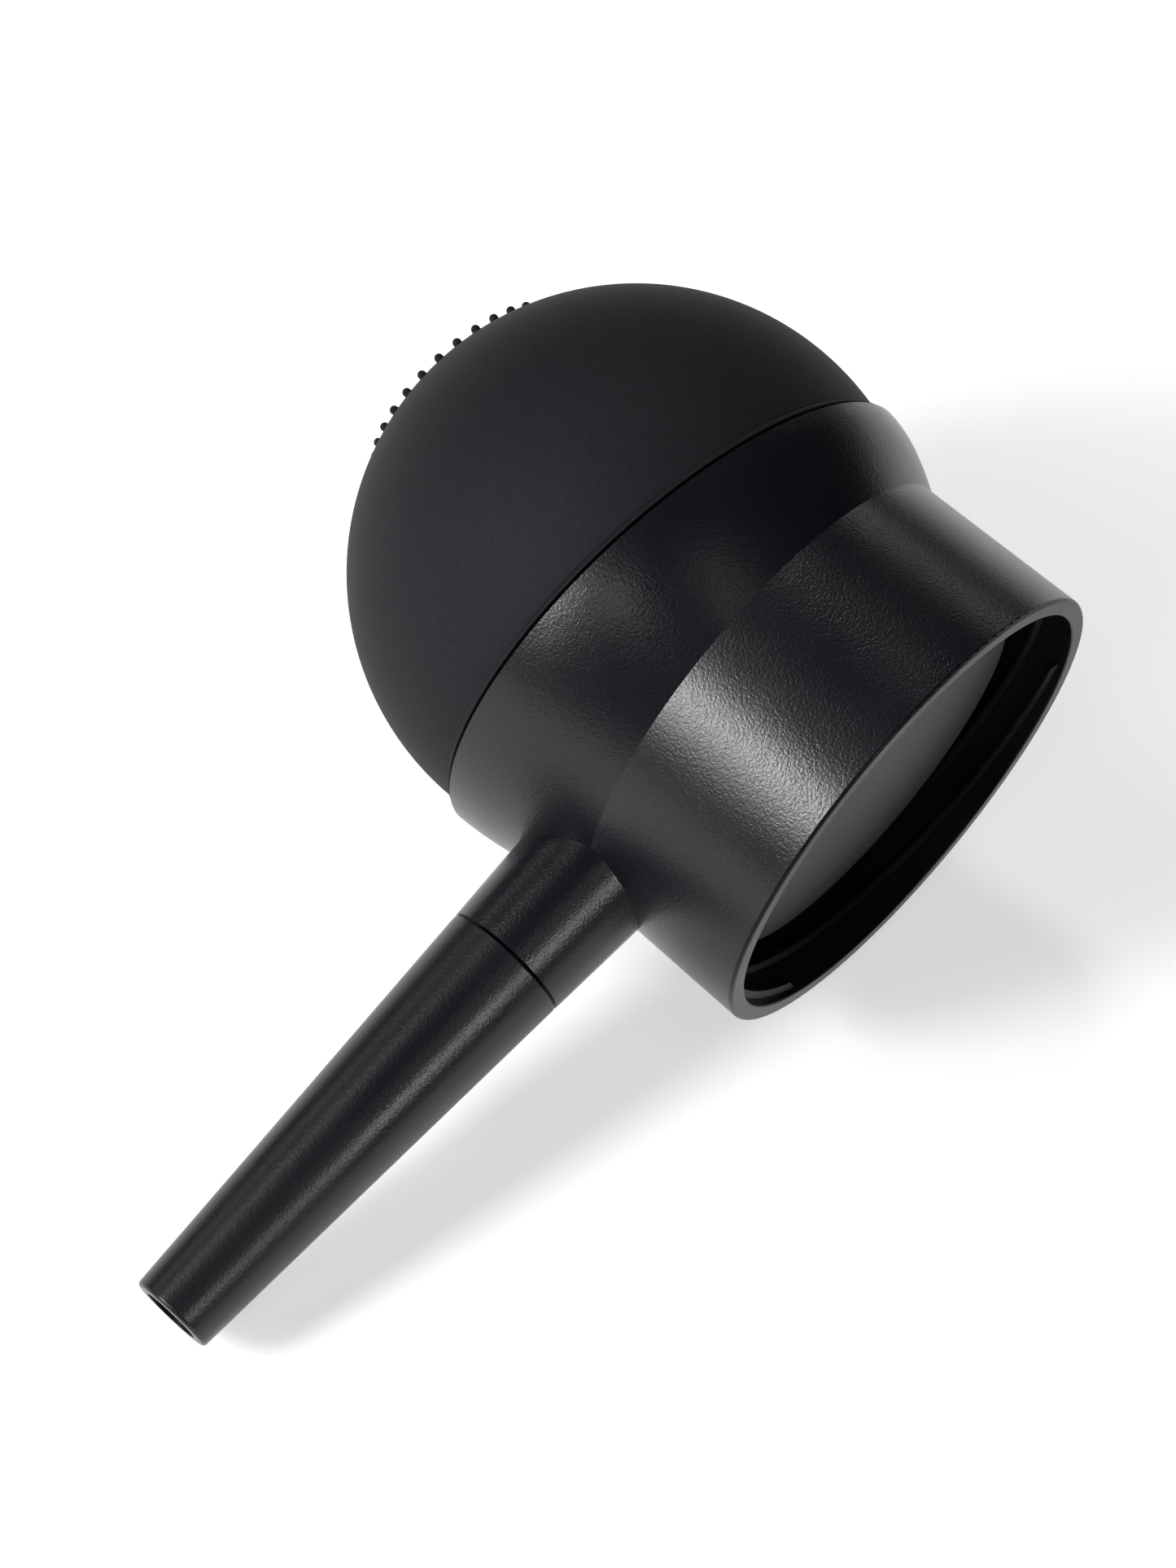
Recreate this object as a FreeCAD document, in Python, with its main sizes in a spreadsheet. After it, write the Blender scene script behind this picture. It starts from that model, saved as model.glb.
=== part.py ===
"""Squeeze-bulb applicator pump for hair-building fibres, a FreeCAD document of separate named pieces.

Frame: origin at the centre of the neck's rim face, +Z along the neck up to the bulb, the nozzle along -X.
The head (bulb, valve plate and its valves) leans away from the nozzle about a line along Y, so its pieces are
drawn in a head frame whose origin is the centre of the seam between bulb and body, and are placed there.
All lengths are millimetres and all angles degrees.
"""
import FreeCAD, Part
import math
import os
import Sketcher

os.makedirs("parts", exist_ok=True)
doc = FreeCAD.newDocument("applicator_pump")
Vector = FreeCAD.Vector

DIMENSIONS = [
    ("rim_radius", 22.43, "outside of the neck at its rim"),
    ("rim_round", 0.3, "rounding of the rim's outer edge"),
    ("mouth_round", 0.15, "rounding of the rim's inner edge"),
    ("waist_radius", 22.13, "outside of the neck where the shoulder starts"),
    ("waist_height", 16.35, "height of the crease between neck and shoulder"),
    ("bore_radius", 20.8, "wall of the threaded mouth"),
    ("deck_bottom", 10.0, "underside of the deck inside the body"),
    ("deck_top", 11.4, "upper side of the deck"),
    ("thread_lead", 8.8, "rise of one thread start in a full turn"),
    ("thread_starts", 3, "number of thread starts"),
    ("thread_depth", 0.55, "how far a thread ridge stands out of the wall"),
    ("thread_base", 1.1, "width of a ridge at the wall"),
    ("thread_crest", 0.3, "width of a ridge at its crest"),
    ("thread_bottom", 0.95, "height of a ridge's centre line at its start"),
    ("thread_rise", 4.2, "rise of one ridge from start to end"),
    ("thread_turn", 13.0, "angle of the first ridge's start"),
    ("start_lead", 57.0, "rise in a full turn of the slanted start of a ridge"),
    ("start_rise", 1.1, "rise of the slanted start of a ridge"),
    ("seam_offset", 0.27, "seam centre, away from the nozzle"),
    ("seam_height", 26.45, "seam centre above the rim face"),
    ("head_tilt", 7.62, "lean of the bulb axis away from the nozzle"),
    ("seam_radius", 25.13, "outside of the body at the seam"),
    ("shoulder_power", 1.45, "how the shoulder swells from seam to waist"),
    ("shoulder_wall", 2.0, "wall thickness of the shoulder"),
    ("bulb_radius", 24.79, "outside of the bulb's sphere"),
    ("bulb_rise", 5.6, "centre of the bulb's sphere above the seam"),
    ("bulb_wall", 2.0, "rubber thickness of the bulb"),
    ("seam_gap", 0.2, "open groove between bulb and body"),
    ("skirt_radius", 21.6, "outside of the bulb's skirt inside the body"),
    ("skirt_wall", 1.6, "rubber thickness of the skirt"),
    ("skirt_depth", 3.0, "how far the skirt reaches below the seam"),
    ("plate_radius", 21.2, "valve plate"),
    ("plate_level", 3.3, "top of the valve plate below the seam"),
    ("plate_thickness", 1.6, "valve plate floor"),
    ("plate_rim", 19.7, "outside of the plate's rim inside the skirt"),
    ("post_circle", 15.6, "radius of the circle of screw posts"),
    ("post_radius", 2.6, "screw post"),
    ("screw_radius", 1.1, "screw shank"),
    ("screw_head", 2.1, "screw head radius"),
    ("screw_length", 6.0, "screw shank length"),
    ("intake_place", -6.0, "intake flap, along the head frame's X"),
    ("outlet_place", 8.0, "outlet valve, along the head frame's X"),
    ("outlet_side", -7.0, "outlet valve, air hose and air jet, along Y"),
    ("flap_radius", 4.5, "head of the intake flap"),
    ("flap_stem", 1.0, "stem of the intake flap"),
    ("valve_lift", 0.8, "travel of the intake flap and of the outlet disc"),
    ("disc_radius", 3.5, "outlet disc"),
    ("cup_radius", 5.0, "outside of the outlet cup"),
    ("cup_wall", 1.0, "wall of the outlet cup"),
    ("cup_depth", 3.9, "height of the outlet cup under the plate"),
    ("spigot_radius", 2.0, "hose spigot of the outlet cup and the air jet"),
    ("spigot_length", 2.4, "length of the hose spigot"),
    ("air_bore", 1.2, "air passage of spigot and jet"),
    ("hose_radius", 2.8, "outside of the air hose"),
    ("hose_bend", 16.0, "radius of the bend in the air hose"),
    ("plug_radius", 18.13, "feed plug"),
    ("plug_level", 4.7, "flat face of the feed plug above the rim face"),
    ("plug_floor", 1.5, "thickness of the plug's flat face"),
    ("plug_wall", 1.6, "wall of the feed plug"),
    ("feed_place", -13.0, "feed port and elbow, along X"),
    ("elbow_radius", 3.0, "outside of the discharge elbow"),
    ("elbow_bore", 2.0, "passage of the discharge elbow"),
    ("elbow_bend", 4.8, "radius of the bend on the elbow's axis"),
    ("elbow_end", 23.6, "end of the elbow inside the boss, from the neck axis"),
    ("nozzle_height", 16.67, "height of the nozzle axis"),
    ("boss_end", 31.94, "face of the boss, from the neck axis"),
    ("boss_radius", 5.68, "outside of the boss at its face"),
    ("boss_root", 15.0, "start of the boss inside the neck wall"),
    ("boss_root_radius", 6.57, "outside of the boss at its start"),
    ("socket_radius", 3.7, "socket in the boss for the nozzle's spigot"),
    ("nozzle_gap", 0.2, "open groove between boss and nozzle"),
    ("nozzle_radius", 5.67, "outside of the nozzle at the boss"),
    ("nozzle_tip_radius", 3.74, "outside of the nozzle at its tip"),
    ("nozzle_tip", 72.17, "tip of the nozzle, from the neck axis"),
    ("nozzle_bore", 2.6, "passage of the nozzle"),
    ("nozzle_entry", 2.3, "narrower start of the nozzle's passage, inside the spigot"),
    ("nozzle_step", 34.0, "where the passage widens, from the neck axis"),
    ("nozzle_spigot", 3.62, "outside of the nozzle's spigot"),
    ("nozzle_spigot_end", 24.6, "inner end of the nozzle's spigot, from the neck axis"),
    ("nozzle_edge", 0.35, "rounding of the nozzle's ends"),
    ("ring_place", 27.0, "O-ring of the nozzle, from the neck axis"),
    ("ring_thickness", 0.35, "half thickness of the nozzle's O-ring"),
    ("plate_wall", 1.4, "wall of the plate's rim"),
    ("rim_reach", 1.2, "top of the plate's rim above the seam"),
    ("screw_head_height", 1.4, "screw head height"),
    ("stem_room", 0.08, "radial clearance of the flap's stem"),
    ("port_circle", 2.8, "radius of the circle of intake ports"),
    ("port_radius", 0.9, "intake port"),
    ("flap_thickness", 0.9, "head of the intake flap"),
    ("barb_radius", 1.6, "barb of the intake flap"),
    ("barb_height", 1.4, "barb of the intake flap"),
    ("valve_rest", 0.03, "film between a closed valve and its seat"),
    ("filter_radius", 5.2, "intake filter"),
    ("filter_thickness", 1.6, "intake filter"),
    ("disc_thickness", 0.8, "outlet disc"),
    ("jet_base", 0.8, "collar of the air jet under the hose"),
    ("hose_room", 0.4, "gap round the hose in the deck"),
    ("plug_edge", 0.3, "chamfer of the plug's face"),
    ("seat_depth", 0.4, "seat of the feed screen above the plug's face"),
    ("screen_thickness", 0.25, "feed screen"),
    ("screen_hole", 0.45, "openings of the feed screen"),
    ("screen_circle", 1.35, "radius of the circle of openings"),
    ("seal_room", 0.9, "thickness of the elbow seal in the deck"),
    ("seal_thickness", 0.35, "half thickness of the plug seal"),
    ("gasket_room", 0.25, "gap between the bottle gasket and the wall"),
    ("gasket_thickness", 1.2, "bottle gasket"),
]

sheet = doc.addObject("Spreadsheet::Sheet", "dims")
for row, (alias, value, meaning) in enumerate(DIMENSIONS, start=1):
    sheet.set(f"A{row}", alias)
    sheet.set(f"B{row}", str(value))
    sheet.setAlias(f"B{row}", alias)
    sheet.set(f"C{row}", meaning)
doc.recompute()

XY, XZ = "XY_Plane", "XZ_Plane"
UP, ALONG_X, ALONG_Y = Vector(0, 0, 1), Vector(1, 0, 0), Vector(0, 1, 0)
ORIGIN = ("0", "0", "0")
FULL_TURN = 360
TILT = "dims.head_tilt * 1 deg"
pieces = {}


# ---- expressions ---------------------------------------------------------------------------------

# The bend of the air hose starts below the outlet cup's spigot and ends where the hose runs straight down.
PLATE_UNDER = "(dims.plate_level + dims.plate_thickness)"
CUP_UNDER = f"({PLATE_UNDER} + dims.cup_depth)"
BEND_DROP = f"({CUP_UNDER} + dims.spigot_length + dims.seam_gap)"
BEND_X = f"(dims.seam_offset + dims.outlet_place * cos({TILT}) - {BEND_DROP} * sin({TILT}))"
BEND_Z = f"(dims.seam_height - dims.outlet_place * sin({TILT}) - {BEND_DROP} * cos({TILT}))"
HOSE_X = f"({BEND_X} - dims.hose_bend * (1 - cos({TILT})))"
HOSE_Z = f"({BEND_Z} - dims.hose_bend * sin({TILT}))"
PLUG_TOP = "(dims.plug_level + dims.plug_floor)"


def value(expression):
    """The number that an expression gives with the sheet as it is."""
    result = sheet.evalExpression(expression)
    return float(getattr(result, "Value", result))


def bind(target, **expressions):
    """Bind properties to expressions; two underscores in a name stand for a dot."""
    for name, expression in expressions.items():
        target.setExpression(name.replace("__", "."), expression)


def keep(piece, name):
    """Register a finished sub-part under the name of its node."""
    piece.Label = name
    pieces[name] = piece
    return piece


def place_in_head(piece, across="0", along_y="0"):
    """Put a piece drawn in the head frame where the head is, shifted across the head."""
    piece.Placement = FreeCAD.Placement(Vector(), FreeCAD.Rotation(ALONG_Y, value("dims.head_tilt")))
    bind(piece, Placement__Base__x=f"dims.seam_offset + ({across}) * cos({TILT})")
    bind(piece, Placement__Base__y=along_y)
    bind(piece, Placement__Base__z=f"dims.seam_height - ({across}) * sin({TILT})")
    bind(piece, Placement__Rotation__Angle="dims.head_tilt")
    return piece


# ---- sketches ------------------------------------------------------------------------------------


def new_body(name):
    return keep(doc.addObject("PartDesign::Body", name), name)


def new_sketch(body, name, role):
    sketch = body.newObject("Sketcher::SketchObject", name)
    plane = next(item for item in body.Origin.OriginFeatures if item.Role == role)
    sketch.AttachmentSupport = [(plane, "")]
    sketch.MapMode = "FlatFace"
    sketch.Visibility = False
    return sketch


def constrain(sketch, constraint, expression):
    """Add a measured constraint and bind it."""
    index = sketch.addConstraint(constraint)
    sketch.setExpression(f"Constraints[{index}]", expression)


def place_point(sketch, geometry, point, x, y):
    """Hold a point of the sketch at a pair of expressions."""
    constrain(sketch, Sketcher.Constraint("DistanceX", -1, 1, geometry, point, value(x)), x)
    constrain(sketch, Sketcher.Constraint("DistanceY", -1, 1, geometry, point, value(y)), y)


def add_edge(sketch, start, end, arc):
    """A straight edge, or an arc of (centre x, centre y, radius); gives its start and end point numbers."""
    if arc is None:
        sketch.addGeometry(Part.LineSegment(start, end), False)
        return 1, 2
    centre = Vector(value(arc[0]), value(arc[1]), 0)
    first = math.atan2(start.y - centre.y, start.x - centre.x)
    last = math.atan2(end.y - centre.y, end.x - centre.x)
    forward = (last - first) % (2 * math.pi) < math.pi
    turned = Part.Circle(centre, UP, value(arc[2]))
    sketch.addGeometry(Part.ArcOfCircle(turned, *((first, last) if forward else (last, first))), False)
    return (1, 2) if forward else (2, 1)


def outline(body, name, role, corners, arcs=None, closed=True):
    """An outline through corners, pairs of expressions; arcs gives (centre x, centre y, radius) by edge."""
    arcs = arcs or {}
    sketch = new_sketch(body, name, role)
    points = [Vector(value(x), value(y), 0) for x, y in corners]
    edges = list(zip(points, points[1:] + points[:1]))
    if not closed:
        edges.pop()
    ends = [add_edge(sketch, start, end, arcs.get(index)) for index, (start, end) in enumerate(edges)]
    for index in range(len(edges) if closed else len(edges) - 1):
        following = (index + 1) % len(edges)
        meeting = (index, ends[index][1], following, ends[following][0])
        sketch.addConstraint(Sketcher.Constraint("Coincident", *meeting))
    for index in range(len(edges)):
        place_point(sketch, index, ends[index][0], *corners[index])
    if not closed:
        place_point(sketch, len(edges) - 1, ends[-1][1], *corners[-1])
    for index, arc in arcs.items():
        constrain(sketch, Sketcher.Constraint("Radius", index, value(arc[2])), arc[2])
    return sketch


def rings(body, name, radii, x="0", level="0"):
    """Concentric circles in a level plane, centred on the X axis at x."""
    sketch = new_sketch(body, name, XY)
    for index, radius in enumerate(radii):
        sketch.addGeometry(Part.Circle(Vector(value(x), 0, 0), UP, value(radius)), False)
        constrain(sketch, Sketcher.Constraint("Radius", index, value(radius)), radius)
        place_point(sketch, index, 3, x, "0")
    bind(sketch, AttachmentOffset__Base__z=level)
    return sketch


# ---- features ------------------------------------------------------------------------------------


def revolve(body, name, sketch, axis="V_Axis"):
    """A full turn of a sketch about one of its own axes."""
    feature = body.newObject("PartDesign::Revolution", name)
    feature.Profile = sketch
    feature.ReferenceAxis = (sketch, [axis])
    feature.Angle = FULL_TURN
    return feature


def revolved(name, corners, arcs=None):
    """A body that is one outline in the XZ plane, turned about Z."""
    body = new_body(name)
    revolve(body, name + "_turned", outline(body, name + "_outline", XZ, corners, arcs))
    return body


def washer(name, outer, inner, low, high):
    """A plain ring between two levels."""
    return revolved(name, [(inner, low), (outer, low), (outer, high), (inner, high)])


def shaped(body, kind, name, sizes, at=ORIGIN, along=UP):
    """A PartDesign primitive whose sizes and place are expressions."""
    feature = body.newObject("PartDesign::" + kind, name)
    feature.MapMode = "Deactivated"
    feature.Placement = FreeCAD.Placement(Vector(), FreeCAD.Rotation(UP, along))
    bind(feature, **sizes)
    bind(feature, Placement__Base__x=at[0], Placement__Base__y=at[1], Placement__Base__z=at[2])
    return feature


def bore(body, name, radius, height, at=ORIGIN, along=UP):
    """Cut a cylinder out of a body, and see that something was cut."""
    doc.recompute()
    before = body.Shape.Volume
    hole = shaped(body, "SubtractiveCylinder", name, {"Radius": radius, "Height": height}, at, along)
    doc.recompute()
    if not body.Shape.Volume < before:
        raise ValueError(f"{name} cuts nothing")
    return hole


def fillet(body, name, radius, level, ring_radius):
    """Round the circular edges of a turned body at a level and a radius."""
    doc.recompute()
    base = body.Tip

    def wanted(edge):
        curve = edge.Curve
        if not isinstance(curve, Part.Circle):
            return False
        return abs(curve.Center.z - value(level)) < 0.02 and abs(curve.Radius - value(ring_radius)) < 0.02

    edges = [f"Edge{number}" for number, edge in enumerate(base.Shape.Edges, start=1) if wanted(edge)]
    if not edges:
        raise ValueError(f"{name} finds no edge")
    feature = body.newObject("PartDesign::Fillet", name)
    feature.Base = (base, edges)
    feature.Radius = value(radius)
    bind(feature, Radius=radius)
    doc.recompute()
    return feature


def pipe(name, path, arcs, outer, inner, level):
    """A hollow pipe along a path in the XZ plane that starts straight up at a level."""
    body = new_body(name)
    profile = rings(body, name + "_section", [outer, inner], path[0][0], level)
    spine = outline(body, name + "_path", XZ, path, arcs, closed=False)
    swept = body.newObject("PartDesign::AdditivePipe", name + "_swept")
    swept.Profile = profile
    swept.Spine = (spine, [])
    return body


# ---- pump body: neck, shoulder and boss in one moulding ------------------------------------------

SHOULDER_SHARES = (0, 0.33, 0.67, 1)
POST_ANGLES = (0, 120, 240)


def shoulder_station(body, name, share, wall):
    """A circle of the shoulder: share 0 is the seam and 1 the waist; wall is taken off the radius."""
    swell = f"(dims.seam_radius - dims.waist_radius) * {share} ^ dims.shoulder_power"
    sketch = rings(body, name, [f"dims.seam_radius - {swell} - {wall}"])
    lean = f"dims.head_tilt * (1 - {share})"
    turn = FreeCAD.Rotation(ALONG_Y, max(value(lean), 1))
    sketch.AttachmentOffset = FreeCAD.Placement(Vector(), turn)
    bind(sketch, AttachmentOffset__Base__x=f"dims.seam_offset * (1 - {share})")
    drop = f"(dims.waist_height - dims.seam_height) * {share}"
    bind(sketch, AttachmentOffset__Base__z=f"dims.seam_height + {drop}")
    bind(sketch, AttachmentOffset__Rotation__Angle=lean)
    return sketch


def shoulder_loft(body, name, kind, wall):
    """The swell from the seam to the waist, solid or as a space inside the wall."""
    stations = []
    for number, share in enumerate(SHOULDER_SHARES):
        stations.append(shoulder_station(body, f"{name}_{number}", share, wall))
    loft = body.newObject("PartDesign::" + kind, name)
    loft.Profile = stations[0]
    loft.Sections = stations[1:]
    return loft


def turned_about_axis(sketch):
    """Turn a sketch of the XZ plane about Z to where the first ridge starts."""
    sketch.AttachmentOffset = FreeCAD.Placement(Vector(), FreeCAD.Rotation(ALONG_Y, 1))
    bind(sketch, AttachmentOffset__Rotation__Angle="dims.thread_turn")
    return sketch


def helix(body, kind, name, sketch, lead, rise):
    """Sweep a sketch along a helix about Z."""
    feature = body.newObject("PartDesign::" + kind, name)
    feature.Profile = sketch
    feature.ReferenceAxis = (sketch, ["V_Axis"])
    feature.Mode = 0
    bind(feature, Pitch=lead, Height=rise)
    doc.recompute()
    return feature


def add_thread(body):
    """Equal helical ridges on the wall of the mouth, each with a slanted start: a quick thread."""
    root, crest = "dims.bore_radius + 0.3", "dims.bore_radius - dims.thread_depth"
    low, high = "dims.thread_bottom - dims.thread_base / 2", "dims.thread_bottom + dims.thread_base / 2"
    section = turned_about_axis(outline(body, "ridge_outline", XZ, [
        (root, low),
        (crest, "dims.thread_bottom - dims.thread_crest / 2"),
        (crest, "dims.thread_bottom + dims.thread_crest / 2"),
        (root, high),
    ]))
    ridge = helix(body, "AdditiveHelix", "thread_ridge", section, "dims.thread_lead", "dims.thread_rise")
    cleared = turned_about_axis(outline(body, "start_outline", XZ, [
        (crest + " - 0.3", low),
        ("dims.bore_radius", low),
        ("dims.bore_radius", high + " + 0.5"),
        (crest + " - 0.3", high + " + 0.5"),
    ]))
    slant = helix(body, "SubtractiveHelix", "thread_slant", cleared, "dims.start_lead", "dims.start_rise")
    starts = body.newObject("PartDesign::PolarPattern", "thread_starts")
    starts.Originals = [ridge, slant]
    starts.Axis = (section, ["V_Axis"])
    starts.Angle = FULL_TURN
    bind(starts, Occurrences="dims.thread_starts")
    body.Tip = starts


def post_place(angle):
    """The centre of a screw post on the valve plate's underside, in the object's frame."""
    across = f"(dims.post_circle * cos({angle} deg))"
    x = f"dims.seam_offset + {across} * cos({TILT}) - {PLATE_UNDER} * sin({TILT})"
    y = f"dims.post_circle * sin({angle} deg)"
    z = f"dims.seam_height - {across} * sin({TILT}) - {PLATE_UNDER} * cos({TILT})"
    return x, y, z


def add_posts(body):
    """Screw posts that rise from the deck to the valve plate, square to the plate, with pilot holes."""
    for kind, radius in (("Additive", "dims.post_radius"), ("Subtractive", "dims.screw_radius")):
        for number, angle in enumerate(POST_ANGLES, start=1):
            x, y, z = post_place(angle)
            down_to_deck = f"({z} - (dims.deck_top + dims.deck_bottom) / 2) / cos({TILT})"
            pilot = "dims.screw_length - dims.plate_thickness + 0.5"
            height = down_to_deck if kind == "Additive" else pilot
            sizes = {"Radius": radius, "Height": height}
            post = shaped(body, kind + "Cylinder", f"post_{kind}_{number}", sizes, (x, y, z))
            post.Placement.Rotation = FreeCAD.Rotation(ALONG_Y, 180 + value("dims.head_tilt"))
            bind(post, Placement__Rotation__Angle="180 + dims.head_tilt")


def make_pump_body():
    body = new_body("pump_body")
    neck = outline(body, "neck_outline", XZ, [
        ("0", "0"),
        ("dims.rim_radius", "0"),
        ("dims.waist_radius", "dims.waist_height"),
        ("0", "dims.waist_height"),
    ])
    revolve(body, "neck", neck)
    fillet(body, "rim_rounding", "dims.rim_round", "0", "dims.rim_radius")
    shoulder_loft(body, "shoulder", "AdditiveLoft", "0")
    at_boss_face = ("-dims.boss_end", "0", "dims.nozzle_height")
    boss_length = "dims.boss_end - dims.boss_root"
    cone = {"Radius1": "dims.boss_radius", "Radius2": "dims.boss_root_radius", "Height": boss_length}
    shaped(body, "AdditiveCone", "boss", cone, at_boss_face, ALONG_X)
    shoulder_loft(body, "head_space", "SubtractiveLoft", "dims.shoulder_wall")
    plenum = "dims.waist_radius - dims.shoulder_wall"
    bore(body, "plenum", plenum, "dims.waist_height - dims.deck_top", ("0", "0", "dims.deck_top"))
    bore(body, "mouth", "dims.bore_radius", "dims.deck_bottom")
    fillet(body, "mouth_rounding", "dims.mouth_round", "0", "dims.bore_radius")
    add_thread(body)
    add_posts(body)
    socket_length = "dims.boss_end - dims.elbow_end"
    bore(body, "nozzle_socket", "dims.socket_radius", socket_length, at_boss_face, ALONG_X)
    at_elbow_end = ("-dims.elbow_end", "0", "dims.nozzle_height")
    elbow_run = "dims.elbow_end + dims.feed_place"
    bore(body, "elbow_socket", "dims.elbow_radius", elbow_run, at_elbow_end, ALONG_X)
    through = "dims.deck_top - dims.deck_bottom + 2"
    below_deck = ("dims.feed_place", "0", "dims.deck_bottom - 1")
    bore(body, "elbow_hole", "dims.elbow_radius + dims.seal_room", through, below_deck)
    below_deck = (HOSE_X, "dims.outlet_side", "dims.deck_bottom - 1")
    bore(body, "hose_hole", "dims.hose_radius + dims.hose_room", through, below_deck)


# ---- head: bulb, valve plate and valves, drawn in the head frame ---------------------------------


def make_squeeze_bulb():
    """The rubber bulb: a hollow cap of a ball over the seam, with a skirt down inside the body."""
    shelf = "(dims.seam_gap + dims.bulb_wall)"
    outer, inner = "dims.bulb_radius", "(dims.bulb_radius - dims.bulb_wall)"
    skirt_inside = "dims.skirt_radius - dims.skirt_wall"
    ball = ("0", "dims.bulb_rise")
    body = revolved("squeeze_bulb", [
        ("0", f"dims.bulb_rise + {inner}"),
        (f"sqrt({inner} ^ 2 - (dims.bulb_rise - {shelf}) ^ 2)", shelf),
        (skirt_inside, shelf),
        (skirt_inside, "-dims.skirt_depth"),
        ("dims.skirt_radius", "-dims.skirt_depth"),
        ("dims.skirt_radius", "dims.seam_gap"),
        (f"sqrt({outer} ^ 2 - (dims.bulb_rise - dims.seam_gap) ^ 2)", "dims.seam_gap"),
        ("0", f"dims.bulb_rise + {outer}"),
    ], {0: (*ball, inner), 6: (*ball, outer)})
    place_in_head(body)


def make_valve_plate():
    """The dish that closes the body under the bulb and backs the skirt; it seats both valves."""
    top = "-dims.plate_level"
    rim_top = "dims.rim_reach"
    body = revolved("valve_plate", [
        ("0", f"-{PLATE_UNDER}"),
        ("dims.plate_radius", f"-{PLATE_UNDER}"),
        ("dims.plate_radius", top),
        ("dims.plate_rim", top),
        ("dims.plate_rim", rim_top),
        ("dims.plate_rim - dims.plate_wall", rim_top),
        ("dims.plate_rim - dims.plate_wall", top),
        ("0", top),
    ])
    through = "dims.plate_thickness + 1"
    below = f"-{PLATE_UNDER} - 0.5"
    for number, angle in enumerate(POST_ANGLES, start=1):
        at = (f"dims.post_circle * cos({angle} deg)", f"dims.post_circle * sin({angle} deg)", below)
        bore(body, f"screw_hole_{number}", "dims.screw_radius + 0.15", through, at)
    bore(body, "stem_hole", "dims.flap_stem + dims.stem_room", through, ("dims.intake_place", "0", below))
    for number, angle in enumerate((45, 135, 225, 315), start=1):
        across = f"dims.intake_place + dims.port_circle * cos({angle} deg)"
        at = (across, f"dims.port_circle * sin({angle} deg)", below)
        bore(body, f"intake_port_{number}", "dims.port_radius", through, at)
    bore(body, "outlet_port", "dims.spigot_radius", through,
         ("dims.outlet_place", "dims.outlet_side", below))
    place_in_head(body)


def make_plate_screws():
    """Three pan-head screws that hold the valve plate on its posts."""
    head_base = "-dims.plate_level"
    screws = doc.addObject("Part::MultiFuse", "plate_screws")
    members = []
    for number, angle in enumerate(POST_ANGLES, start=1):
        x, y = f"dims.post_circle * cos({angle} deg)", f"dims.post_circle * sin({angle} deg)"
        for kind, radius, height, low in (
            ("shank", "dims.screw_radius", "dims.screw_length", f"{head_base} - dims.screw_length"),
            ("head", "dims.screw_head", "dims.screw_head_height", head_base),
        ):
            part = doc.addObject("Part::Cylinder", f"screw_{kind}_{number}")
            bind(part, Radius=radius, Height=height)
            bind(part, Placement__Base__x=x, Placement__Base__y=y, Placement__Base__z=low)
            members.append(part)
    screws.Shapes = members
    place_in_head(keep(screws, "plate_screws"))


def make_intake_flap():
    """The umbrella valve of the intake: a thin head over the ports, a stem, and a barb that holds it."""
    top = "(-dims.plate_level)"
    barb_top = f"(-{PLATE_UNDER} - dims.valve_lift - 0.1)"
    head_top = f"({top} + dims.flap_thickness)"
    body = revolved("intake_flap", [
        ("0", f"{barb_top} - dims.barb_height"),
        ("dims.flap_stem * 0.6", f"{barb_top} - dims.barb_height"),
        ("dims.barb_radius", barb_top),
        ("dims.flap_stem", barb_top),
        ("dims.flap_stem", f"{top} + dims.valve_rest"),
        ("dims.flap_radius", f"{top} + dims.valve_rest"),
        ("dims.flap_radius", f"{head_top} - 0.4"),
        ("dims.flap_stem", f"{head_top} + 0.2"),
        ("0", f"{head_top} + 0.2"),
    ])
    place_in_head(body, "dims.intake_place")


def make_intake_filter():
    """A foam ring under the intake ports that keeps fibres and dust out of the bulb."""
    body = washer("intake_filter", "dims.filter_radius", "dims.barb_radius + 0.4",
                  f"-{PLATE_UNDER} - dims.filter_thickness", f"-{PLATE_UNDER}")
    place_in_head(body, "dims.intake_place")


def make_outlet_cup():
    """The cup under the outlet port: a ledge stops the disc, and a spigot takes the hose."""
    floor_top = f"(-{CUP_UNDER} + dims.cup_wall)"
    stop = f"(-{PLATE_UNDER} - dims.disc_thickness - dims.valve_lift - 2 * dims.valve_rest)"
    inside = "dims.cup_radius - dims.cup_wall"
    body = revolved("outlet_cup", [
        ("dims.air_bore", f"-{CUP_UNDER} - dims.spigot_length"),
        ("dims.spigot_radius", f"-{CUP_UNDER} - dims.spigot_length"),
        ("dims.spigot_radius", f"-{CUP_UNDER}"),
        ("dims.cup_radius", f"-{CUP_UNDER}"),
        ("dims.cup_radius", f"-{PLATE_UNDER}"),
        (inside, f"-{PLATE_UNDER}"),
        (inside, stop),
        (f"{inside} - 1", stop),
        (f"{inside} - 1.6", floor_top),
        ("dims.air_bore", floor_top),
    ])
    place_in_head(body, "dims.outlet_place", "dims.outlet_side")


def make_outlet_disc():
    """The free disc of the outlet valve: bulb pressure pushes it off the port, and it falls shut again."""
    top = f"(-{PLATE_UNDER} - dims.valve_rest)"
    body = revolved("outlet_disc", [
        ("0", f"{top} - dims.disc_thickness"),
        ("dims.disc_radius", f"{top} - dims.disc_thickness"),
        ("dims.disc_radius", top),
        ("0", top),
    ])
    place_in_head(body, "dims.outlet_place", "dims.outlet_side")


# ---- inside the body: hose, jet, feed plug and elbow ---------------------------------------------


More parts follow.
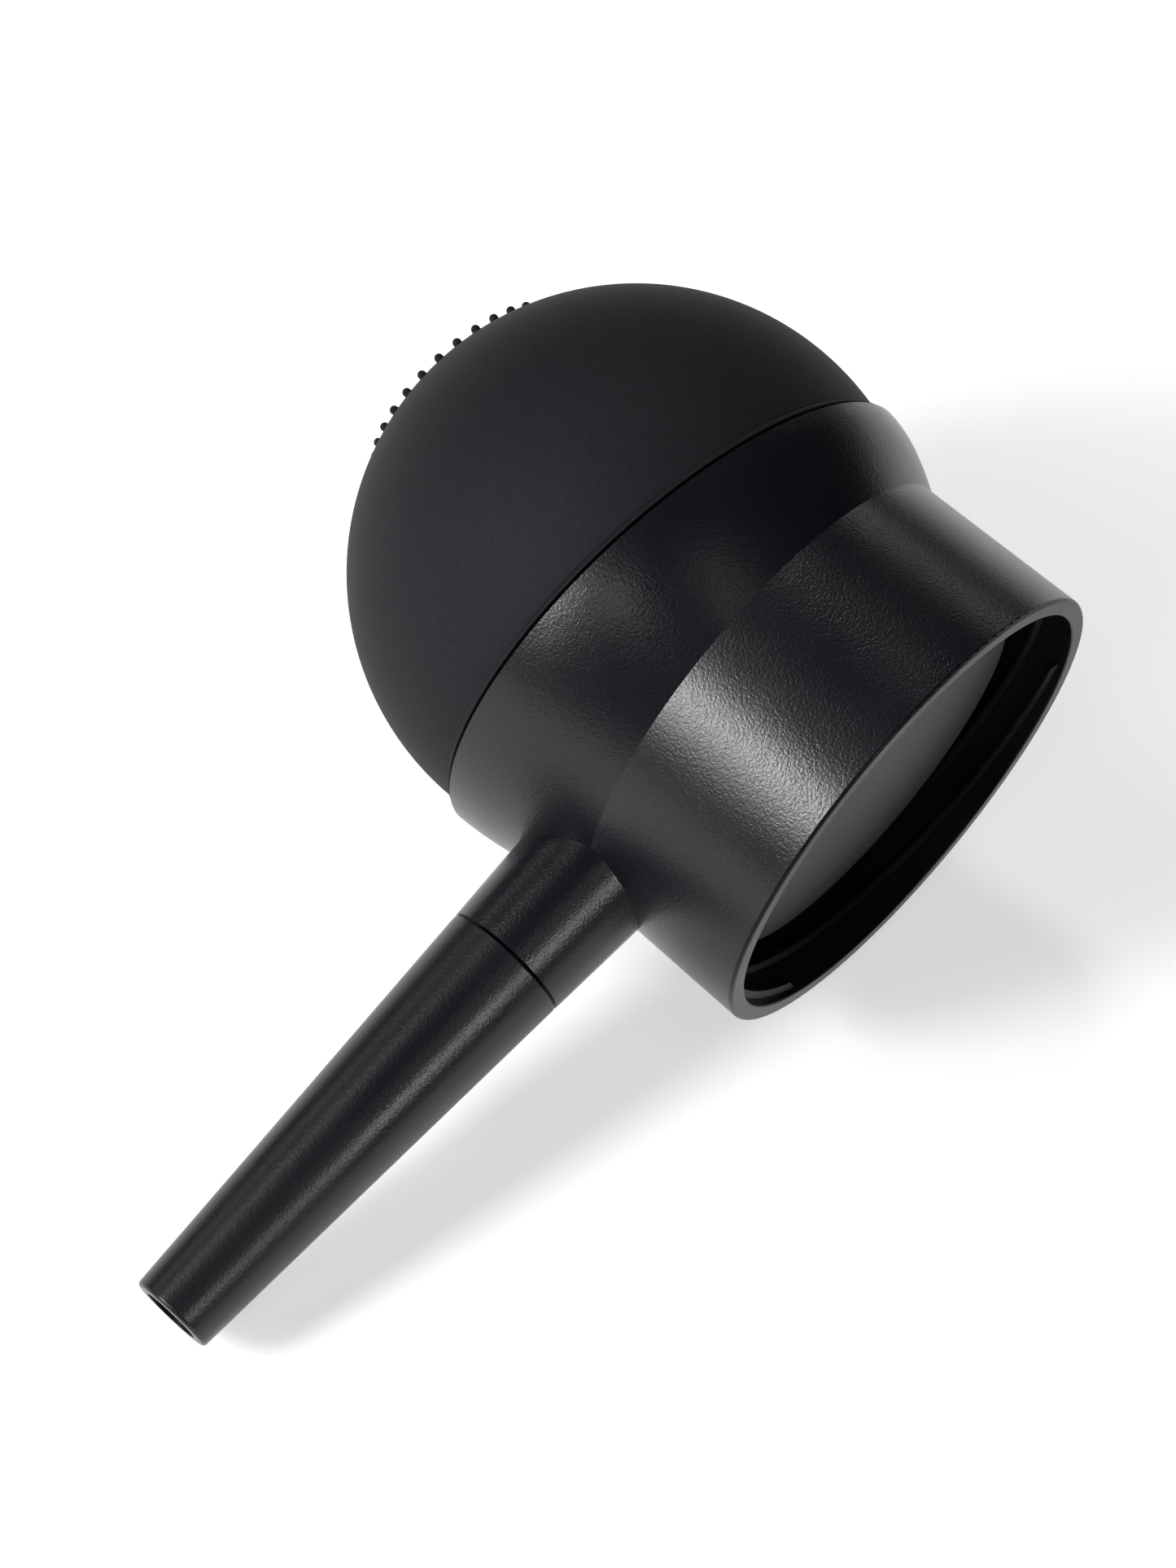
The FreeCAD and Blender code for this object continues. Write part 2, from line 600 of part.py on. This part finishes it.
def make_air_hose():
    """The soft hose from the outlet cup to the air jet: straight, one gentle bend, straight."""
    top = f"({CUP_UNDER} + 0.1)"
    start_level = f"{PLUG_TOP} + dims.jet_base"
    path = [
        (HOSE_X, start_level),
        (HOSE_X, HOSE_Z),
        (BEND_X, BEND_Z),
        (f"dims.seam_offset + dims.outlet_place * cos({TILT}) - {top} * sin({TILT})",
         f"dims.seam_height - dims.outlet_place * sin({TILT}) - {top} * cos({TILT})"),
    ]
    arcs = {1: (f"{HOSE_X} + dims.hose_bend", HOSE_Z, "dims.hose_bend")}
    hose = pipe("air_hose", path, arcs, "dims.hose_radius", "dims.spigot_radius", start_level)
    bind(hose, Placement__Base__y="dims.outlet_side")


def make_air_jet():
    """The jet in the feed plug that the hose pushes over; it blows air down into the bottle."""
    body = revolved("air_jet", [
        ("dims.air_bore", "dims.plug_level"),
        ("dims.spigot_radius", "dims.plug_level"),
        ("dims.spigot_radius", PLUG_TOP),
        ("dims.hose_radius", PLUG_TOP),
        ("dims.hose_radius", f"{PLUG_TOP} + dims.jet_base"),
        ("dims.spigot_radius", f"{PLUG_TOP} + dims.jet_base"),
        ("dims.spigot_radius", "dims.deck_top"),
        ("dims.air_bore", "dims.deck_top"),
    ])
    bind(body, Placement__Base__x=HOSE_X, Placement__Base__y="dims.outlet_side")


def make_feed_plug():
    """The flat ceiling of the mouth: a cup against the deck, with an air port and a feed port."""
    groove = "dims.seal_thickness"
    middle = "(dims.plug_radius - dims.plug_wall / 2)"
    body = revolved("feed_plug", [
        ("0", "dims.plug_level"),
        ("dims.plug_radius - dims.plug_edge", "dims.plug_level"),
        ("dims.plug_radius", "dims.plug_level + dims.plug_edge"),
        ("dims.plug_radius", "dims.deck_bottom"),
        (f"{middle} + {groove}", "dims.deck_bottom"),
        (f"{middle} + {groove}", f"dims.deck_bottom - 2 * {groove}"),
        (f"{middle} - {groove}", f"dims.deck_bottom - 2 * {groove}"),
        (f"{middle} - {groove}", "dims.deck_bottom"),
        ("dims.plug_radius - dims.plug_wall", "dims.deck_bottom"),
        ("dims.plug_radius - dims.plug_wall", PLUG_TOP),
        ("0", PLUG_TOP),
    ])
    below = "dims.plug_level - 1"
    bore(body, "feed_port", "dims.elbow_bore", "dims.plug_floor + 2", ("dims.feed_place", "0", below))
    bore(body, "feed_seat", "dims.elbow_radius", "dims.plug_floor + 2",
         ("dims.feed_place", "0", "dims.plug_level + dims.seat_depth"))
    bore(body, "jet_port", "dims.spigot_radius", "dims.plug_floor + 2", (HOSE_X, "dims.outlet_side", below))


def torus(name, ring_radius, thickness, at, along=UP):
    """An O-ring."""
    ring = doc.addObject("Part::Torus", name)
    ring.Placement = FreeCAD.Placement(Vector(), FreeCAD.Rotation(UP, along))
    bind(ring, Radius1=ring_radius, Radius2=thickness)
    bind(ring, Placement__Base__x=at[0], Placement__Base__y=at[1], Placement__Base__z=at[2])
    return keep(ring, name)


def make_feed_screen():
    """A disc of open mesh in the feed port that breaks up clumps of fibre."""
    seat = "dims.plug_level + dims.seat_depth"
    top = seat + " + dims.screen_thickness"
    body = washer("feed_screen", "dims.elbow_radius", "dims.screen_hole", seat, top)
    for number, angle in enumerate(range(0, FULL_TURN, 60), start=1):
        at = (f"dims.screen_circle * cos({angle} deg)", f"dims.screen_circle * sin({angle} deg)", "0")
        bore(body, f"mesh_hole_{number}", "dims.screen_hole", "dims.deck_bottom", at)
    bind(body, Placement__Base__x="dims.feed_place")


def make_discharge_elbow():
    """The elbow that carries fibre and air from the feed port up and out to the nozzle."""
    start_level = "dims.plug_level + dims.seat_depth + dims.screen_thickness"
    path = [
        ("dims.feed_place", start_level),
        ("dims.feed_place", "dims.nozzle_height - dims.elbow_bend"),
        ("dims.feed_place - dims.elbow_bend", "dims.nozzle_height"),
        ("-dims.elbow_end", "dims.nozzle_height"),
    ]
    centre = ("dims.feed_place - dims.elbow_bend", "dims.nozzle_height - dims.elbow_bend")
    arcs = {1: (*centre, "dims.elbow_bend")}
    pipe("discharge_elbow", path, arcs, "dims.elbow_radius", "dims.elbow_bore", start_level)


def make_seals():
    """The soft rings: elbow seal, plug seal and bottle gasket."""
    washer_at_deck = washer("elbow_seal", "dims.elbow_radius + dims.seal_room", "dims.elbow_radius",
                            "dims.deck_bottom", "dims.deck_top")
    bind(washer_at_deck, Placement__Base__x="dims.feed_place")
    torus("plug_seal", "dims.plug_radius - dims.plug_wall / 2", "dims.seal_thickness",
          ("0", "0", "dims.deck_bottom - dims.seal_thickness"))
    washer("bottle_gasket", "dims.bore_radius - dims.gasket_room", "dims.plug_radius",
           "dims.deck_bottom - dims.gasket_thickness", "dims.deck_bottom")


# ---- nozzle --------------------------------------------------------------------------------------


def make_nozzle():
    """The long tapered nozzle with its spigot, drawn along Z from the neck axis and laid along -X."""
    base = "dims.boss_end + dims.nozzle_gap"
    groove = "(dims.ring_thickness + 0.05)"
    floor = "(dims.socket_radius - 2 * dims.ring_thickness - 0.04)"
    body = revolved("nozzle_tube", [
        ("dims.nozzle_entry", "dims.nozzle_spigot_end"),
        ("dims.nozzle_spigot", "dims.nozzle_spigot_end"),
        ("dims.nozzle_spigot", f"dims.ring_place - {groove}"),
        (floor, f"dims.ring_place - {groove}"),
        (floor, f"dims.ring_place + {groove}"),
        ("dims.nozzle_spigot", f"dims.ring_place + {groove}"),
        ("dims.nozzle_spigot", base),
        ("dims.nozzle_radius", base),
        ("dims.nozzle_tip_radius", "dims.nozzle_tip"),
        ("dims.nozzle_bore", "dims.nozzle_tip"),
        ("dims.nozzle_bore", "dims.nozzle_step"),
        ("dims.nozzle_entry", "dims.nozzle_step"),
    ])
    fillet(body, "tip_rounding", "dims.nozzle_edge", "dims.nozzle_tip", "dims.nozzle_tip_radius")
    fillet(body, "base_rounding", "dims.nozzle_edge / 2", base, "dims.nozzle_radius")
    body.Placement = FreeCAD.Placement(Vector(), FreeCAD.Rotation(UP, -ALONG_X))
    bind(body, Placement__Base__z="dims.nozzle_height")
    torus("nozzle_ring", "dims.socket_radius - dims.ring_thickness - 0.02", "dims.ring_thickness",
          ("-dims.ring_place", "0", "dims.nozzle_height"), ALONG_X)


# ---- build, check and write ----------------------------------------------------------------------


def check_document():
    """Stop at any object that failed, or any sub-part whose shape isn't whole."""
    failed = [item.Name for item in doc.Objects if {"Invalid", "Error"} & set(item.State)]
    if failed:
        raise RuntimeError(f"these objects failed: {failed}")
    for name, piece in pieces.items():
        if piece.Shape.isNull() or not piece.Shape.isValid() or not piece.Shape.Solids:
            raise RuntimeError(f"{name} isn't a valid solid")


make_pump_body()
make_squeeze_bulb()
make_valve_plate()
make_plate_screws()
make_intake_flap()
make_intake_filter()
make_outlet_cup()
make_outlet_disc()
make_air_hose()
make_air_jet()
make_feed_plug()
make_feed_screen()
make_discharge_elbow()
make_seals()
make_nozzle()
doc.recompute()
check_document()
for name, piece in sorted(pieces.items()):
    piece.Shape.exportStep(f"parts/{name}.step")
    box = piece.Shape.BoundBox
    size = f"{len(piece.Shape.Solids)} solid, {piece.Shape.Volume:.1f} mm3"
    print(f"{name}: {size}, z {box.ZMin:.2f} to {box.ZMax:.2f}")
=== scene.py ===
"""Looks of the fibre applicator pump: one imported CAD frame, a finer bulb, materials, floor, lights and camera.

Metres throughout. The frame has its origin at the centre of the neck's rim face, +Z up the neck to the bulb
and the nozzle along -X. The head (bulb and valves) leans away from the nozzle, so the bulb is drawn about its
own axis and placed at the seam.
"""
import math

import bpy
from mathutils import Matrix, Vector


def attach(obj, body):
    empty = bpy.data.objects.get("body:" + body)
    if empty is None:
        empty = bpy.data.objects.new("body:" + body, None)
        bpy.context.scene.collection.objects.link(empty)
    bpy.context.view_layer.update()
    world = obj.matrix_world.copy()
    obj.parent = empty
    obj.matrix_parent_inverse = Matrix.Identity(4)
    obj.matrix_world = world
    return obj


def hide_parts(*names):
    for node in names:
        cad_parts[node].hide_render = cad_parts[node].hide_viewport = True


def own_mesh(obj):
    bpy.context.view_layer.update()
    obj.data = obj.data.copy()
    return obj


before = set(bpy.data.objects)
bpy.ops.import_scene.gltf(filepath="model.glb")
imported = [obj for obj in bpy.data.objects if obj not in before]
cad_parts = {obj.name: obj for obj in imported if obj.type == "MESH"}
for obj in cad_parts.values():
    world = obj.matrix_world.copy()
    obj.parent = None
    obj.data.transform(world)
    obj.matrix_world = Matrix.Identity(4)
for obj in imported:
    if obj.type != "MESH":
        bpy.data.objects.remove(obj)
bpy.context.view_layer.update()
scene = bpy.context.scene
MM = 0.001

# ---- camera --------------------------------------------------------------------------------------------------

EYE = Vector((-96.50, -350.67, -81.72)) * MM
LOOK = Vector((0.21535, 0.93633, 0.27731)).normalized()
UP = Vector((0.70675, -0.34541, 0.61741))
RIGHT = LOOK.cross(UP).normalized()
UP = RIGHT.cross(LOOK)

camera = bpy.data.objects.new("camera", bpy.data.cameras.new("camera"))
scene.collection.objects.link(camera)
camera.matrix_world = Matrix.Translation(EYE) @ Matrix((RIGHT, UP, -LOOK)).transposed().to_4x4()
camera.data.sensor_width = 36.0
camera.data.lens = 101.98
camera.data.clip_start = 0.01
camera.data.clip_end = 20.0
scene.camera = camera

# ---- materials -----------------------------------------------------------------------------------------------

NOISE_LOW, NOISE_HIGH = 0.3, 0.7    # nearly all of a noise texture's values lie between these
DULL, GLOSSY = 0.12, 0.5            # specular level in the neck's mouth and on its rim, and everywhere else


def material(name, color, roughness, **sockets):
    """A principled material; sockets are further values by the shader's own names, with _ for a space."""
    made = bpy.data.materials.new(name)
    made.use_nodes = True
    shader = made.node_tree.nodes["Principled BSDF"]
    shader.inputs["Base Color"].default_value = (*color, 1.0)
    shader.inputs["Roughness"].default_value = roughness
    for socket, value in sockets.items():
        shader.inputs[socket.replace("_", " ")].default_value = value
    return made


def noise(made, scale, detail=2.0, roughness=0.5, stretch=(1, 1, 1), distortion=0.0):
    """Noise over the object's own coordinates, so it stays with the piece."""
    nodes, links = made.node_tree.nodes, made.node_tree.links
    texture = nodes.new("ShaderNodeTexNoise")
    texture.inputs["Scale"].default_value = scale
    texture.inputs["Detail"].default_value = detail
    texture.inputs["Roughness"].default_value = roughness
    texture.inputs["Distortion"].default_value = distortion
    place = nodes.new("ShaderNodeMapping")
    place.inputs["Scale"].default_value = stretch
    coordinates = nodes.new("ShaderNodeTexCoord")
    links.new(coordinates.outputs["Object"], place.inputs["Vector"])
    links.new(place.outputs["Vector"], texture.inputs["Vector"])
    return texture.outputs["Fac"]


def bump(made, height, strength, distance):
    """Raise the surface by a height, after whatever bump the shader already has."""
    nodes, links = made.node_tree.nodes, made.node_tree.links
    normal = nodes["Principled BSDF"].inputs["Normal"]
    node = nodes.new("ShaderNodeBump")
    node.inputs["Strength"].default_value = strength
    node.inputs["Distance"].default_value = distance
    links.new(height, node.inputs["Height"])
    if normal.is_linked:
        links.new(normal.links[0].from_socket, node.inputs["Normal"])
    links.new(node.outputs["Normal"], normal)


def vary(made, socket, fac, low, high):
    """Drive a socket from low to high by a 0 to 1 factor; numbers or colours."""
    nodes, links = made.node_tree.nodes, made.node_tree.links
    target = nodes["Principled BSDF"].inputs[socket]
    if isinstance(low, (int, float)):
        node = nodes.new("ShaderNodeMapRange")
        node.inputs["From Min"].default_value = NOISE_LOW
        node.inputs["From Max"].default_value = NOISE_HIGH
        node.inputs["To Min"].default_value = low
        node.inputs["To Max"].default_value = high
        links.new(fac, node.inputs["Value"])
        links.new(node.outputs["Result"], target)
        return
    node = nodes.new("ShaderNodeValToRGB")
    node.color_ramp.elements[0].position = NOISE_LOW
    node.color_ramp.elements[1].position = NOISE_HIGH
    node.color_ramp.elements[0].color = (*low, 1.0)
    node.color_ramp.elements[1].color = (*high, 1.0)
    links.new(fac, node.inputs["Fac"])
    links.new(node.outputs["Color"], target)


def grained(name, color, roughness, grain, depth):
    """Moulded plastic with a leather grain and slow changes of gloss."""
    gloss_scale, gloss_change = 90.0, 0.03
    made = material(name, color, roughness, IOR=1.46)
    bump(made, noise(made, grain, 1.0, 0.5, distortion=0.6), 1.0, depth)
    vary(made, "Roughness", noise(made, gloss_scale), roughness - gloss_change, roughness + gloss_change)
    return made


def dull_where(made, outside):
    """Take most of the gloss off wherever a 0 to 1 factor is 0."""
    nodes, links = made.node_tree.nodes, made.node_tree.links
    level = nodes.new("ShaderNodeMapRange")
    level.inputs["To Min"].default_value = DULL
    level.inputs["To Max"].default_value = GLOSSY
    links.new(outside, level.inputs["Value"])
    links.new(level.outputs["Result"], nodes["Principled BSDF"].inputs["Specular IOR Level"])


def both(made, first, second):
    """The product of two factors."""
    product = made.node_tree.nodes.new("ShaderNodeMath")
    product.operation = "MULTIPLY"
    made.node_tree.links.new(first, product.inputs[0])
    made.node_tree.links.new(second, product.inputs[1])
    return product.outputs["Value"]


def beyond(made, keep, limit):
    """1 where the object's coordinates, scaled by keep, are longer than a limit."""
    nodes, links = made.node_tree.nodes, made.node_tree.links
    place = nodes.new("ShaderNodeMapping")
    place.inputs["Scale"].default_value = keep
    size = nodes.new("ShaderNodeVectorMath")
    size.operation = "LENGTH"
    longer = nodes.new("ShaderNodeMath")
    longer.operation = "GREATER_THAN"
    longer.inputs[1].default_value = limit
    coordinates = nodes.new("ShaderNodeTexCoord")
    links.new(coordinates.outputs["Object"], place.inputs["Vector"])
    links.new(place.outputs["Vector"], size.inputs[0])
    links.new(size.outputs["Value"], longer.inputs[0])
    return longer.outputs["Value"]


BLACK = (0.0055, 0.0062, 0.0085)
GRAIN = 4200.0                      # noise scale of the moulded grain
MOUTH_WALL = 20.85 * MM             # closer to the neck's axis than this is the mouth
RIM_EDGE = 0.32 * MM                # lower than this is the rim
body_plastic = grained("body_plastic", BLACK, 0.29, GRAIN, 0.024 * MM)
outside_mouth = beyond(body_plastic, (1, 1, 0), MOUTH_WALL)
above_rim = beyond(body_plastic, (0, 0, 1), RIM_EDGE)
dull_where(body_plastic, both(body_plastic, outside_mouth, above_rim))
nozzle_plastic = grained("nozzle_plastic", BLACK, 0.33, GRAIN, 0.022 * MM)

RUBBER_DARK, RUBBER_PALE = (0.0025, 0.0025, 0.004), (0.0085, 0.0085, 0.0115)
bulb_rubber = material("bulb_rubber", (0.007, 0.007, 0.009), 0.72, IOR=1.5, Specular_IOR_Level=0.34,
                       Specular_Tint=(0.92, 0.92, 1.0, 1.0))
bump(bulb_rubber, noise(bulb_rubber, 3800.0, 2.0, 0.6), 1.0, 0.014 * MM)
vary(bulb_rubber, "Base Color", noise(bulb_rubber, 3000.0, 3.0, 0.7), RUBBER_DARK, RUBBER_PALE)

plug_plastic = material("plug_plastic", (0.02, 0.0205, 0.023), 0.5)
bump(plug_plastic, noise(plug_plastic, 2500.0, 2.0), 0.6, 0.008 * MM)
inner_plastic = material("inner_plastic", (0.32, 0.33, 0.34), 0.42)
bump(inner_plastic, noise(inner_plastic, 2500.0, 2.0), 0.5, 0.008 * MM)
valve_silicone = material("valve_silicone", (0.55, 0.56, 0.56), 0.38, Subsurface_Weight=0.3)
bump(valve_silicone, noise(valve_silicone, 1500.0), 0.5, 0.01 * MM)
hose_silicone = material("hose_silicone", (0.6, 0.61, 0.62), 0.3, Subsurface_Weight=0.3)
bump(hose_silicone, noise(hose_silicone, 1200.0), 0.5, 0.01 * MM)
seal_rubber = material("seal_rubber", (0.012, 0.012, 0.013), 0.55)
bump(seal_rubber, noise(seal_rubber, 4000.0), 0.6, 0.008 * MM)
filter_foam = material("filter_foam", (0.09, 0.09, 0.1), 0.9)
bump(filter_foam, noise(filter_foam, 2200.0, 3.0, 0.7), 1.0, 0.1 * MM)
screen_steel = material("screen_steel", (0.5, 0.5, 0.5), 0.32, Metallic=1.0)
bump(screen_steel, noise(screen_steel, 2500.0, 2.0, 0.5, (1, 12, 1)), 0.5, 0.006 * MM)
screw_steel = material("screw_steel", (0.52, 0.52, 0.54), 0.28, Metallic=1.0)
bump(screw_steel, noise(screw_steel, 2000.0), 0.5, 0.006 * MM)

LOOKS = {
    "pump_body": body_plastic,
    "nozzle_tube": nozzle_plastic,
    "feed_plug": plug_plastic,
    "valve_plate": inner_plastic,
    "outlet_cup": inner_plastic,
    "air_jet": inner_plastic,
    "discharge_elbow": inner_plastic,
    "intake_flap": valve_silicone,
    "outlet_disc": valve_silicone,
    "air_hose": hose_silicone,
    "intake_filter": filter_foam,
    "elbow_seal": seal_rubber,
    "plug_seal": seal_rubber,
    "bottle_gasket": seal_rubber,
    "nozzle_ring": seal_rubber,
    "feed_screen": screen_steel,
    "plate_screws": screw_steel,
}
for name, look in LOOKS.items():
    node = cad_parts[name]
    node.data.materials.clear()
    node.data.materials.append(look)

# ---- squeeze bulb --------------------------------------------------------------------------------------------

SEAM = Vector((0.27, 0, 26.45)) * MM
LEAN = math.radians(7.62)
HEAD = Matrix.Translation(SEAM) @ Matrix.Rotation(LEAN, 4, "Y")
SPHERE, RISE = 24.79 * MM, 5.6 * MM


def arc(centre, radius, start, end, steps):
    """Points (r, s) round a centre, angles in degrees from the r direction."""
    angles = [math.radians(start + (end - start) * step / steps) for step in range(steps + 1)]
    return [(centre[0] + radius * math.cos(a), centre[1] + radius * math.sin(a)) for a in angles]


def lathe(profile, turns, place):
    """Vertices and faces of a profile of (r, s) turned about an axis; ends with r near 0 close to a point."""
    vertices, faces, rings = [], [], []
    for r, s in profile:
        if r < 1e-7:
            rings.append([len(vertices)] * turns)
            vertices.append(place @ Vector((0, 0, s)))
            continue
        rings.append(list(range(len(vertices), len(vertices) + turns)))
        for turn in range(turns):
            angle = math.tau * turn / turns
            vertices.append(place @ Vector((r * math.cos(angle), r * math.sin(angle), s)))
    for lower, upper in zip(rings, rings[1:]):
        for turn in range(turns):
            after = (turn + 1) % turns
            corners = [lower[turn], lower[after], upper[after], upper[turn]]
            faces.append(list(dict.fromkeys(corners)))
    return vertices, faces


def mesh_piece(name, parts, look):
    """One object from several (vertices, faces) parts, smooth shaded."""
    vertices, faces = [], []
    for part_vertices, part_faces in parts:
        shift = len(vertices)
        vertices += part_vertices
        faces += [[index + shift for index in face] for face in part_faces]
    mesh = bpy.data.meshes.new(name)
    mesh.from_pydata(vertices, [], faces)
    mesh.validate()
    mesh.shade_smooth()
    mesh.set_sharp_from_angle(angle=math.radians(50))
    mesh.materials.append(look)
    made = bpy.data.objects.new(name, mesh)
    scene.collection.objects.link(made)
    return made


def bulb_profile():
    """The bulb's section: skirt, rounded lip beside the seam, dome, and the inner wall back down."""
    lip_low, lip, lip_round = 0.36 * MM, 24.72 * MM, 0.16 * MM
    dome_low = 1.05 * MM
    skirt, skirt_inner, wall, depth = 21.6 * MM, 20.0 * MM, 2.0 * MM, 3.0 * MM
    low = math.degrees(math.asin((dome_low - RISE) / SPHERE))
    inner = SPHERE - wall
    outside = [(skirt, -depth), (skirt, lip_low), (lip, lip_low)]
    outside += arc((lip, lip_low + lip_round), lip_round, -80, 70, 8)
    outside += arc((0, RISE), SPHERE, low, 89.5, 96) + [(0, RISE + SPHERE)]
    inside = [(0, RISE + inner)] + arc((0, RISE), inner, 89, -18, 60) + [(skirt_inner, -depth)]
    return outside + inside + [outside[0]]


def nub(place):
    """A small ball on a soft foot, sunk a little into the rubber."""
    ball, ball_height = 0.4 * MM, 0.17 * MM
    foot = [(0, -0.25 * MM), (0.46 * MM, -0.22 * MM), (0.44 * MM, -0.02 * MM), (0.39 * MM, 0.06 * MM)]
    return lathe(foot + arc((0, ball_height), ball, -8, 84, 9) + [(0, ball_height + ball)], NUB_TURNS, place)


BULB_TURNS, NUB_TURNS = 288, 20
NUBS, NUB_POLAR, NUB_START = 32, math.radians(24.6), math.radians(-101.7)
parts = [lathe(bulb_profile(), BULB_TURNS, HEAD)]
for index in range(NUBS):
    turn = Matrix.Rotation(NUB_START + math.tau * index / NUBS, 4, "Z")
    place = HEAD @ Matrix.Translation((0, 0, RISE)) @ turn @ Matrix.Rotation(NUB_POLAR, 4, "Y")
    parts.append(nub(place @ Matrix.Translation((0, 0, SPHERE))))
bulb = mesh_piece("squeeze_bulb_rubber", parts, bulb_rubber)
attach(bulb, "pump")
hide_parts("squeeze_bulb")
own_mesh(bulb)

# ---- floor ---------------------------------------------------------------------------------------------------

# The pump lies on its back. The floor stays clear of the nozzle's tip when that is pulled out.
FLOOR_NORMAL = Vector((0.2816, -0.9549, 0.0948)).normalized()
FLOOR_DEPTH = 24.6 * MM
FLOOR_HALF = 2.5
sheet = bpy.data.meshes.new("floor")
side = FLOOR_NORMAL.cross(Vector((0, 0, 1))).normalized() * FLOOR_HALF
over = FLOOR_NORMAL.cross(side).normalized() * FLOOR_HALF
centre = -FLOOR_NORMAL * FLOOR_DEPTH
corners = [centre - side - over, centre + side - over, centre + side + over, centre - side + over]
sheet.from_pydata(corners, [], [(0, 1, 2, 3)])
floor = bpy.data.objects.new("floor", sheet)
scene.collection.objects.link(floor)
white = material("floor_white", (0.86, 0.86, 0.86), 0.9, Specular_IOR_Level=0.0, Emission_Strength=0.52,
                 Emission_Color=(1, 1, 1, 1))

# The floor's back lets everything through, so that the pump can be seen from behind.
nodes, links = white.node_tree.nodes, white.node_tree.links
through = nodes.new("ShaderNodeBsdfTransparent")
choose = nodes.new("ShaderNodeMixShader")
back = nodes.new("ShaderNodeNewGeometry")
links.new(back.outputs["Backfacing"], choose.inputs["Fac"])
links.new(nodes["Principled BSDF"].outputs["BSDF"], choose.inputs[1])
links.new(through.outputs["BSDF"], choose.inputs[2])
links.new(choose.outputs["Shader"], nodes["Material Output"].inputs["Surface"])
sheet.materials.append(white)

# ---- lights --------------------------------------------------------------------------------------------------

# The background is white where it is seen, and lights nothing: the lamps and the floor do that.
world = bpy.data.worlds.new("studio")
scene.world = world
world.use_nodes = True
background = world.node_tree.nodes["Background"]
background.inputs["Color"].default_value = (1, 1, 1, 1)
seen = world.node_tree.nodes.new("ShaderNodeLightPath")
world.node_tree.links.new(seen.outputs["Is Camera Ray"], background.inputs["Strength"])

LAMP_SIZE, LAMP_DISTANCE = 0.22, 0.9
LAMP_AREA = math.pi * LAMP_SIZE ** 2 / 4
AIM = Vector((-12, 0, 22)) * MM


def lamp(name, right, up, back, radiance):
    """A round soft light in the direction that the camera's axes give, aimed at the pump."""
    toward = (RIGHT * right + UP * up - LOOK * back).normalized()
    data = bpy.data.lights.new(name, "AREA")
    data.shape = "DISK"
    data.size = LAMP_SIZE
    data.energy = radiance * math.pi * LAMP_AREA
    made = bpy.data.objects.new(name, data)
    scene.collection.objects.link(made)
    made.location = AIM + toward * LAMP_DISTANCE
    made.rotation_mode = "QUATERNION"
    made.rotation_quaternion = (-toward).to_track_quat("-Z", "Y")


lamp("key", -0.70, 0.07, 0.71, 34.0)
lamp("key_low", -0.74, -0.09, 0.66, 9.0)
lamp("key_high", -0.65, 0.20, 0.73, 8.0)
lamp("key_above", -0.49, 0.53, 0.69, 4.4)
lamp("left_back", -0.70, 0.68, 0.21, 2.8)
lamp("top_back", -0.09, 0.93, 0.35, 11.3)
lamp("fill", 0.58, -0.27, 0.77, 12.5)
lamp("front_left", -0.27, -0.05, 0.96, 3.1)
lamp("front_right", 0.35, 0.13, 0.93, 1.6)
lamp("right_back", 0.40, 0.90, -0.17, 1.8)

scene.view_settings.view_transform = "Standard"
scene.view_settings.look = "None"
